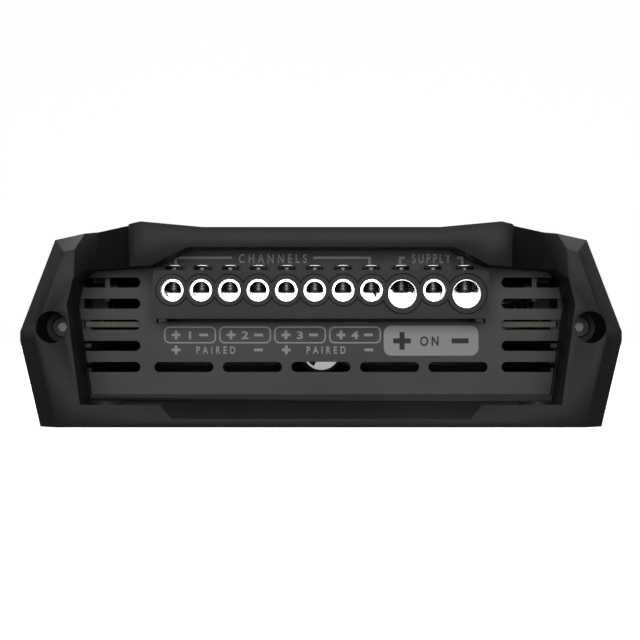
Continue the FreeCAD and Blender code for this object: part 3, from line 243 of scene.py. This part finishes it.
# The deep wall at the back of each notch beside the brow is painted near-black: painted shade, for the shade that
# falls deep in the notch.
notch_painted_shade = finish("black primer", (0.006, 0.006, 0.006), 0.75, grain=1800, bump=0.2)
notch_painted_shade.node_tree.nodes["Principled BSDF"].inputs["Specular IOR Level"].default_value = 0.15
notch_wall = abs(cad_box[0].y) - 0.0125
for name in caps:
    repaint(name, notch_painted_shade, lambda face: abs(abs(face.center.y) - notch_wall) < 1e-4 and face.center.z > 0.041
            and abs(face.normal.y) > 0.9)

# ---- Heatsink body ----
# The extruded middle of the case, black anodised, with the fine draw lines of the die along it.


def drawn_metal(name, colour, rough, metal, bump):
    """A finish whose grain is stretched along the extrusion."""
    material = finish(name, colour, rough, metal=metal, speckle=0.25)
    tree = material.node_tree
    mapping = tree.nodes.new("ShaderNodeMapping")
    mapping.inputs["Scale"].default_value = (1500, 3, 1500)
    tree.links.new(tree.nodes["place"].outputs["Object"], mapping.inputs["Vector"])
    tree.links.new(mapping.outputs["Vector"], tree.nodes["grain"].inputs["Vector"])
    tree.nodes["grain"].inputs["Scale"].default_value = 1.0
    tree.nodes["relief"].inputs["Strength"].default_value = bump
    return material


dress(["heatsink_body"], drawn_metal("black anodised extrusion", (0.03, 0.03, 0.032), 0.4, 0.6, 0.35))

# ---- Base plate ----
# A steel sheet under the case, powder coated.
dress(["base_plate"], finish("powder coat", (0.014, 0.014, 0.014), 0.55, grain=1800, bump=0.4, speckle=0.3))

# ---- Panels ----
# Flat satin-painted sheets behind each recess.
dress(["front_panel", "rear_panel"],
      finish("panel paint", (0.060, 0.049, 0.053), 0.45, grain=3000, bump=0.12, mottle=0.04, speckle=0.06))

# ---- Printed legends ----
# Screen-printed light grey ink on the panels: brackets, boxes, signs, channel numbers, dial marks and
# plain function words in a generic sans lettering. Forms are drawn flat in millimetres as read.
ink = finish("grey ink", (0.62, 0.595, 0.63), 0.6, grain=4000, bump=0.1, mottle=0.05)
ink_thick = 0.02
upright = Matrix.Rotation(pi / 2, 4, "X") @ Matrix.Scale(0.001, 4)
front_sheet = Matrix.Translation((0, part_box("front_panel")[0].y, 0)) @ upright
rear_sheet = Matrix.Translation((0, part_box("rear_panel")[1].y, 0)) @ Matrix.Rotation(pi, 4, "Z") @ upright


def printed(form, name, sheet, colour):
    """Lays a flat form on a panel as one printed piece."""
    mesh = bpy.data.meshes.new(name)
    form.to_mesh(mesh)
    form.free()
    mesh.transform(sheet)
    mesh.materials.append(colour)
    piece = bpy.data.objects.new(name, mesh)
    bpy.context.scene.collection.objects.link(piece)
    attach(piece, "chassis")
    return piece


def bar(form, left, right, low, high):
    """A thin rectangle of ink."""
    spot = Matrix.Translation(((left + right) / 2, (low + high) / 2, ink_thick / 2))
    bmesh.ops.create_cube(form, size=1, matrix=spot @ Matrix.Diagonal((right - left, high - low, ink_thick, 1)))


def words(form, text, middle, level, tall, wide=1.0, spread=1.5, weight=0.03):
    """Lettering centred on a point."""
    curve = bpy.data.curves.new(text, "FONT")
    curve.body = text
    curve.size = tall / 0.73
    curve.space_character = spread
    curve.offset = tall * weight
    curve.align_x = "CENTER"
    curve.extrude = ink_thick / 2
    draft = bpy.data.objects.new(text, curve)
    bpy.context.scene.collection.objects.link(draft)
    bpy.context.view_layer.update()
    mesh = bpy.data.meshes.new_from_object(draft)
    bpy.data.objects.remove(draft)
    mesh.transform(Matrix.Translation((middle, level - tall / 2, ink_thick / 2)) @ Matrix.Diagonal((wide, 1, 1, 1)))
    form.from_mesh(mesh)
    bpy.data.meshes.remove(mesh)


def plus(form, middle, level, reach, thick):
    """A plus sign."""
    bar(form, middle - reach, middle + reach, level - thick / 2, level + thick / 2)
    bar(form, middle - thick / 2, middle + thick / 2, level + thick / 2, level + reach)
    bar(form, middle - thick / 2, middle + thick / 2, level - reach, level - thick / 2)


def label(form, left, right, low, high, corner, line=0.0):
    """A round-cornered patch of ink, or only its outline where line is set."""
    flat = bmesh.new()
    bmesh.ops.create_grid(flat, x_segments=1, y_segments=1, size=0.5)
    bmesh.ops.transform(flat, matrix=Matrix.Diagonal((right - left, high - low, 1, 1)), verts=flat.verts)
    bmesh.ops.bevel(flat, geom=list(flat.verts), offset=corner, segments=6, profile=0.5, affect="VERTICES",
                    material=-1)
    if line:
        middle = list(flat.faces)
        bmesh.ops.inset_individual(flat, faces=middle, thickness=line, use_even_offset=True)
        bmesh.ops.delete(flat, geom=middle, context="FACES")
    wall = bmesh.ops.extrude_face_region(flat, geom=list(flat.faces))["geom"]
    lifted = [item for item in wall if isinstance(item, bmesh.types.BMVert)]
    bmesh.ops.translate(flat, vec=(0, 0, ink_thick), verts=lifted)
    bmesh.ops.recalc_face_normals(flat, faces=flat.faces)
    bmesh.ops.translate(flat, vec=((left + right) / 2, (low + high) / 2, 0), verts=flat.verts)
    spare = bpy.data.meshes.new("spare")
    flat.to_mesh(spare)
    flat.free()
    form.from_mesh(spare)
    bpy.data.meshes.remove(spare)


legend = bmesh.new()
for index in range(4):
    left = -46.2 + index * 16.2
    label(legend, left, left + 15.3, 23.2, 28.2, 1.6, line=0.4)
    plus(legend, left + 3.5, 25.7, 1.3, 0.8)
    bar(legend, left + 10.3, left + 12.9, 25.3, 26.1)
    words(legend, str(index + 1), left + 7.6, 25.7, 2.3, wide=1.35, spread=1.0, weight=0.04)
for pair in range(2):
    plus(legend, -42.7 + pair * 32.5, 21.3, 1.3, 0.8)
    bar(legend, -19.7 + pair * 32.5, -17.1 + pair * 32.5, 20.9, 21.7)
    words(legend, "PAIRED", -31.0 + pair * 32.5, 21.3, 2.2, wide=0.75, spread=1.75)
for left, right, end in ((-43.2, -26.2, -1), (-2.3, 14.7, 1), (22.9, 24.8, -1), (40.1, 42.0, 1)):
    bar(legend, left, right, 48.1, 48.8)
    drop = left if end < 0 else right - 0.8
    bar(legend, drop, drop + 0.8, 46.6, 48.1)
words(legend, "CHANNELS", -14.2, 48.3, 2.7, wide=0.72, spread=1.7)
words(legend, "SUPPLY", 32.5, 48.3, 2.7, wide=0.68, spread=1.5)
printed(legend, "front_legend", front_sheet, ink)

# The supply label is a solid patch of ink, overprinted with dark signs.
patch = bmesh.new()
label(patch, 18.5, 46.4, 19.6, 28.4, 2.2)
printed(patch, "supply_label", front_sheet, ink)
dark_ink = finish("dark ink", (0.052, 0.046, 0.049), 0.6, grain=4000, bump=0.1, mottle=0.05)
signs = bmesh.new()
plus(signs, 23.9, 23.95, 2.6, 1.5)
bar(signs, 38.5, 43.5, 23.2, 24.7)
words(signs, "ON", 32.0, 23.95, 2.8, wide=0.8, spread=1.5, weight=0.035)
bmesh.ops.translate(signs, vec=(0, 0, ink_thick), verts=signs.verts)
printed(signs, "supply_signs", front_sheet, dark_ink)

# ---- Terminal block ----
# A moulded plastic housing with nickel-plated clamps inside and steel set screws from above.
dress(["terminal_housing"],
      finish("block plastic", (0.014, 0.0125, 0.013), 0.5, grain=2200, bump=0.12, mottle=0.05, speckle=0.08))
nickel = finish("bright nickel", (0.9, 0.9, 0.9), 0.22, metal=1.0, grain=900, bump=0.05, mottle=0.03)
dress(["speaker_terminal_clamps", "power_terminal_clamps"], nickel)
# The faces inside each clamp bore past the mouth's land and above the wire's axis are painted dark: painted shade
# inside the bore.
bore_painted_shade = finish("dull nickel", (0.10, 0.10, 0.10), 0.45, metal=0.8, grain=900, bump=0.1)
land_deep = 0.0025
wire_axis = 0.0388
for name in ("speaker_terminal_clamps", "power_terminal_clamps"):
    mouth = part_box(name)[0].y
    repaint(name, bore_painted_shade, lambda face: face.center.y > mouth + land_deep and face.center.z > wire_axis)
# The set screws are one steel in lit and shaded copies: faces turned up or down are painted bright as painted
# highlight, and faces turned sideways are painted dark as painted shade.
zinc = finish("set screw steel with painted highlight", (0.55, 0.55, 0.56), 0.3, metal=1.0, grain=1400, bump=0.1)
screw_painted_shade = finish("set screw steel with painted shade", (0.10, 0.10, 0.10), 0.3, metal=0.9, grain=1400, bump=0.1)
for number in range(1, 12):
    dress([f"terminal_screw_{number:02d}"], zinc)
    repaint(f"terminal_screw_{number:02d}", screw_painted_shade, lambda face: abs(face.normal.z) < 0.5)

# The moats moulded round the collars are too narrow for light to reach.
moat_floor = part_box("terminal_housing")[0].y + 0.0011
unlit = finish("shaded block plastic", (0.002, 0.002, 0.002), 0.7, bump=0.05)
block = nodes["terminal_housing"].data


def in_moat(face):
    """Whether a face is a moat's floor, or a wall that ends at it."""
    depths = [block.vertices[corner].co.y - moat_floor for corner in face.vertices]
    return max(depths) < 2e-5 and max(depths) > -2e-5


repaint("terminal_housing", unlit, in_moat)


# ---- Case screws ----
# Black-oxide steel socket-head screws in the end caps, and flat ones under the base plate. The floors
# of the hex sockets of the cap screws are coloured bright steel.
dress(["end_cap_screws", "base_plate_screws"],
      finish("black oxide", (0.02, 0.02, 0.021), 0.4, metal=0.5, grain=1600, bump=0.15))
bare = finish("bright socket-floor steel", (0.8, 0.78, 0.78), 0.6, metal=0.2, grain=1600, bump=0.15)
socket_floor = abs(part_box("end_cap_screws")[0].y) - 0.0015
repaint("end_cap_screws", bare, lambda face: abs(face.normal.y) > 0.9
        and abs(abs(face.center.y) - socket_floor) < 1e-4)

# ---- Boards ----
# Glass-fibre boards under dark green solder mask with pale sawn edges, joined by moulded connectors
# and a flat grey ribbon.
dress(["main_board", "input_board"], finish("solder mask", (0.010, 0.045, 0.025), 0.32, grain=700, bump=0.2,
                                            mottle=0.3))
sawn = finish("sawn board edge", (0.22, 0.21, 0.17), 0.8, grain=3000, bump=0.4, speckle=0.2)
repaint("main_board", sawn, lambda face: abs(face.normal.z) < 0.5)
repaint("input_board", sawn, lambda face: abs(face.normal.y) < 0.5)
dress(["board_connectors"], finish("connector plastic", (0.05, 0.05, 0.05), 0.5))
ribbon = finish("ribbon plastic", (0.35, 0.35, 0.37), 0.5, grain=900, bump=0.6)
cores = ribbon.node_tree.nodes.new("ShaderNodeTexWave")
cores.inputs["Scale"].default_value = 250.0
cores.bands_direction = "X"
ribbon.node_tree.links.new(ribbon.node_tree.nodes["place"].outputs["Object"], cores.inputs["Vector"])
ribbon.node_tree.links.new(cores.outputs["Fac"], ribbon.node_tree.nodes["relief"].inputs["Height"])
dress(["board_ribbon"], ribbon)

# ---- Parts on the boards ----
# Moulded transistors on grey pads against the case wall, blackened clamp bars, sleeved capacitors,
# and ferrite cores wound with enamelled copper.
dress(["power_transistors"], finish("moulded epoxy", (0.015, 0.015, 0.016), 0.5))
dress(["insulator_pads"], finish("silicone pad", (0.16, 0.17, 0.17), 0.8))
dress(["transistor_clamp_bars", "clamp_bar_screws"],
      finish("blackened steel", (0.06, 0.06, 0.062), 0.35, metal=0.8, grain=800, bump=0.1))
dress(["fan_screws", "bracket_screws", "fan_bracket"],
      finish("zinc plate", (0.5, 0.5, 0.52), 0.3, metal=1.0, grain=800, bump=0.1))
dress(["filter_capacitors"], finish("capacitor sleeve", (0.012, 0.02, 0.06), 0.25))
can_top = finish("bare can", (0.7, 0.7, 0.71), 0.35, metal=1.0, grain=900, bump=0.05)
can_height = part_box("filter_capacitors")[1].z
repaint("filter_capacitors", can_top, lambda face: face.normal.z > 0.9 and can_height - face.center.z < 1e-4)
dress(["transformer_core", "inductor_cores"], finish("ferrite", (0.05, 0.05, 0.055), 0.7))
copper = finish("enamelled copper", (0.55, 0.2, 0.07), 0.3, metal=1.0, bump=0.5, speckle=0.3)
turns = copper.node_tree.nodes.new("ShaderNodeTexWave")
turns.inputs["Scale"].default_value = 260.0
turns.bands_direction = "Z"
copper.node_tree.links.new(copper.node_tree.nodes["place"].outputs["Object"], turns.inputs["Vector"])
copper.node_tree.links.new(turns.outputs["Fac"], copper.node_tree.nodes["relief"].inputs["Height"])
dress(["transformer_winding", "inductor_windings"], copper)

# ---- Fan ----
# A small axial fan: moulded frame and rotor, with a plain two-tone disc stuck on the hub.
dress(["fan_frame", "fan_rotor"], finish("fan plastic", (0.02, 0.02, 0.021), 0.4))
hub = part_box("fan_rotor")
hub_centre = Vector(((hub[0].x + hub[1].x) / 2, hub[0].y, (hub[0].z + hub[1].z) / 2))


def hub_disc(name, radius, thick, colour, slant=None):
    """A thin disc on the front of the hub, cut across on a slant where one is given."""
    form = bmesh.new()
    spot = Matrix.Translation(hub_centre - Vector((0, thick / 2, 0))) @ Matrix.Rotation(pi / 2, 4, "X")
    bmesh.ops.create_cone(form, segments=64, radius1=radius, radius2=radius, depth=thick, cap_ends=True, matrix=spot)
    if slant:
        bmesh.ops.bisect_plane(form, geom=form.verts[:] + form.edges[:] + form.faces[:], plane_co=hub_centre,
                               plane_no=slant, clear_outer=True)
        bmesh.ops.contextual_create(form, geom=[line for line in form.edges if line.is_boundary])
        bmesh.ops.recalc_face_normals(form, faces=form.faces)
    mesh = bpy.data.meshes.new(name)
    form.to_mesh(mesh)
    form.free()
    mesh.materials.append(colour)
    piece = bpy.data.objects.new(name, mesh)
    bpy.context.scene.collection.objects.link(piece)
    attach(piece, "fan_rotor")


glowing_white_film = finish("white film with painted glow", (0.85, 0.85, 0.85), 0.4, mottle=0.02)
# The white disc has a faint glow of its own: painted light, so it shows bright deep in the case.
glowing_white_film.node_tree.nodes["Principled BSDF"].inputs["Emission Color"].default_value = (1, 1, 1, 1)
glowing_white_film.node_tree.nodes["Principled BSDF"].inputs["Emission Strength"].default_value = 0.4
hub_disc("hub_disc", 0.0068, 0.0001, glowing_white_film)
hub_disc("hub_disc_half", 0.0061, 0.00015, finish("black film", (0.012, 0.012, 0.012), 0.4),
         slant=Vector((1, 0, -0.5)).normalized())

# ---- Input end ----
# Phono jacks with plated shells, moulded sockets, thumb knobs, slide switches and clear lenses, with
# dial marks and plain numbers printed round them.
dress(["input_jack_block", "high_level_socket", "remote_port", "slide_switch_bodies", "potentiometer_bodies"],
      finish("socket plastic", (0.025, 0.025, 0.026), 0.45))
dress(["input_jack_shells", "input_jack_contacts", "high_level_pins"],
      finish("plated brass", (0.8, 0.62, 0.3), 0.2, metal=1.0, grain=900, bump=0.06))
dress(["left_jack_insulators"], finish("white plastic", (0.75, 0.75, 0.73), 0.35))
dress(["right_jack_insulators"], finish("red plastic", (0.5, 0.02, 0.02), 0.35))
knobs = ["front_gain_knob", "front_crossover_knob", "rear_gain_knob", "rear_crossover_knob"]
switches = ["front_mode_switch", "rear_mode_switch"]
dress(knobs + switches, finish("knob plastic", (0.03, 0.03, 0.03), 0.5))
lens = finish("clear lens", (0.7, 0.85, 0.95), 0.12)
lens.node_tree.nodes["Principled BSDF"].inputs["Transmission Weight"].default_value = 0.85
dress(["status_lenses"], lens)
dials = bmesh.new()
for name in knobs:
    low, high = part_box(name)
    middle = Matrix.Translation((-(low.x + high.x) * 500, (low.z + high.z) * 500, ink_thick / 2))
    for step in range(11):
        long = 1.4 if step % 5 == 0 else 0.8
        spot = middle @ Matrix.Rotation(radians(135 - step * 27), 4, "Z") @ Matrix.Translation((0, 4.9 + long / 2, 0))
        bmesh.ops.create_cube(dials, size=1, matrix=spot @ Matrix.Diagonal((0.3, long, ink_thick, 1)))
for name in switches:
    low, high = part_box(name)
    for side in (-1, 1):
        words(dials, "01"[side > 0], -(low.x + high.x) * 500 + side * 5.6, (low.z + high.z) * 500, 1.7, spread=1.0)
for number, (across, level) in enumerate(((55, 36), (55, 21), (41, 36), (41, 21)), start=1):
    side = 1 if across > 50 else -1
    words(dials, str(number), across + side * 6.6, level, 2.0, wide=1.2, spread=1.0)
printed(dials, "rear_legend", rear_sheet, ink)
